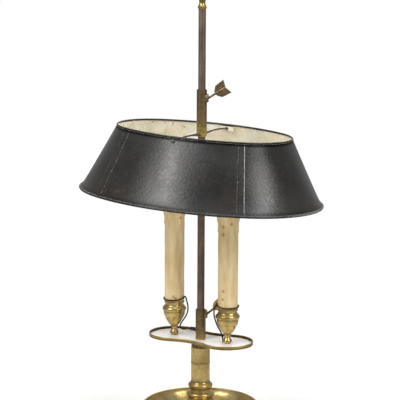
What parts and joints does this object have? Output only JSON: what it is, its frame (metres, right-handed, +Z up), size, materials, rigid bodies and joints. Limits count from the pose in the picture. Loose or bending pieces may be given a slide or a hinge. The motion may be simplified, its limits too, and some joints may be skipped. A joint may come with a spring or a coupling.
{
  "type": "bouillotte lamp",
  "caption": "Table lamp with candle lights on a waisted tray and an oval flared metal shade, both sliding on a rod above a turned column and dish foot, held by arrow keys.",
  "frame": {"origin": "middle of the foot ring, on the surface that the lamp stands on", "axes": "+Z up along the rod; +X along the tray towards the right candle; +Y to the back, where the cable goes in"},
  "size_m": [0.3255, 0.2571, 0.6002],
  "materials": {
    "aged_brass": "spun and turned brass, satin, aged",
    "dark_brass": "brass gone dark",
    "patinated_rod": "drawn brass with a dark-brown patina",
    "black_tole": "sheet iron, black outside and cream inside, rubbed",
    "dark_iron": "dark",
    "weight_iron": "as cast",
    "felt": "pressed felt",
    "rubber": "soft black",
    "white_plastic": "moulded",
    "tray_glass": "silvered plate",
    "tubes": "zinc plated",
    "wax": "wax over card, drips and brown spots",
    "bulb_glass": "frosted",
    "cap_metal": "rolled thread",
    "flex": "brown thin flex",
    "tape": "wound cloth tape"
  },
  "bodies": {
    "stand": {"base_dish": "aged_brass", "base_ring": "aged_brass", "base_weight": "weight_iron", "base_felt": "felt", "rod_washer": "weight_iron", "rod_nut": "weight_iron", "inlet_grommet": "rubber", "terminal_block": "white_plastic", "feed_lead": "flex", "column_foot": "aged_brass", "column_low_tube": "aged_brass", "column_joint_ring": "aged_brass", "column_high_tube": "aged_brass", "rod": "patinated_rod", "finial": "aged_brass"},
    "tray_slider": {"tray_liner": "dark_brass"},
    "tray": {"tray_plate": "tray_glass", "tray_rail": "aged_brass", "tray_sleeve": "dark_brass", "tray_collar": "dark_iron", "tray_nut": "dark_brass", "cup_left": "aged_brass", "cup_right": "aged_brass", "cup_screws": "weight_iron", "cup_nuts": "dark_brass", "holder_stems": "tubes", "lampholder_left": "white_plastic", "lampholder_right": "white_plastic", "candle_left": "wax", "candle_right": "wax", "bulb_caps": "cap_metal", "bulb_left": "bulb_glass", "bulb_right": "bulb_glass", "lead_left": "flex", "lead_right": "flex", "taped_joint": "tape"},
    "tray_clamp": {"tray_key": "dark_brass"},
    "shade_slider": {"shade_liner": "dark_brass"},
    "shade_carrier": {"shade_sleeve": "dark_brass", "shade_arm_front": "dark_brass", "shade_arm_back": "dark_brass"},
    "shade_clamp": {"shade_key": "dark_brass"},
    "shade": {"shade_panel_front": "black_tole", "shade_panel_back": "black_tole", "shade_panel_left": "black_tole", "shade_panel_right": "black_tole", "shade_top_wire": "black_tole", "shade_bottom_wire": "black_tole", "shade_lug_front": "dark_iron", "shade_lug_back": "dark_iron"}
  },
  "joints": [
    {"name": "tray_slide", "type": "slide", "parent": "stand", "child": "tray_slider", "axis": [0, 0, 1], "range_m": [0, 0.07]},
    {"name": "tray_swivel", "type": "hinge", "parent": "tray_slider", "child": "tray", "pos_m": [0, 0, 0.14], "axis": [0, 0, 1], "range_deg": [-90, 90]},
    {"name": "tray_key_turn", "type": "hinge", "parent": "tray", "child": "tray_clamp", "pos_m": [0.00641, 0.00558, 0.1552], "axis": [0.5947, 0.517, 0.6157], "range_deg": [0, 270]},
    {"name": "shade_slide", "type": "slide", "parent": "stand", "child": "shade_slider", "axis": [0, 0, 1], "range_m": [-0.01, 0.1]},
    {"name": "shade_swivel", "type": "hinge", "parent": "shade_slider", "child": "shade_carrier", "pos_m": [0, 0, 0.42], "axis": [0, 0, 1], "continuous": true},
    {"name": "shade_key_turn", "type": "hinge", "parent": "shade_carrier", "child": "shade_clamp", "pos_m": [0.00757, 0.00386, 0.4398], "axis": [0.7473, 0.3807, 0.5446], "range_deg": [0, 270]},
    {"name": "shade_tilt", "type": "hinge", "parent": "shade_carrier", "child": "shade", "pos_m": [0, 0, 0.3928], "axis": [-0.1478, 0.989, 0], "range_deg": [-13.45, 6.55]}
  ]
}
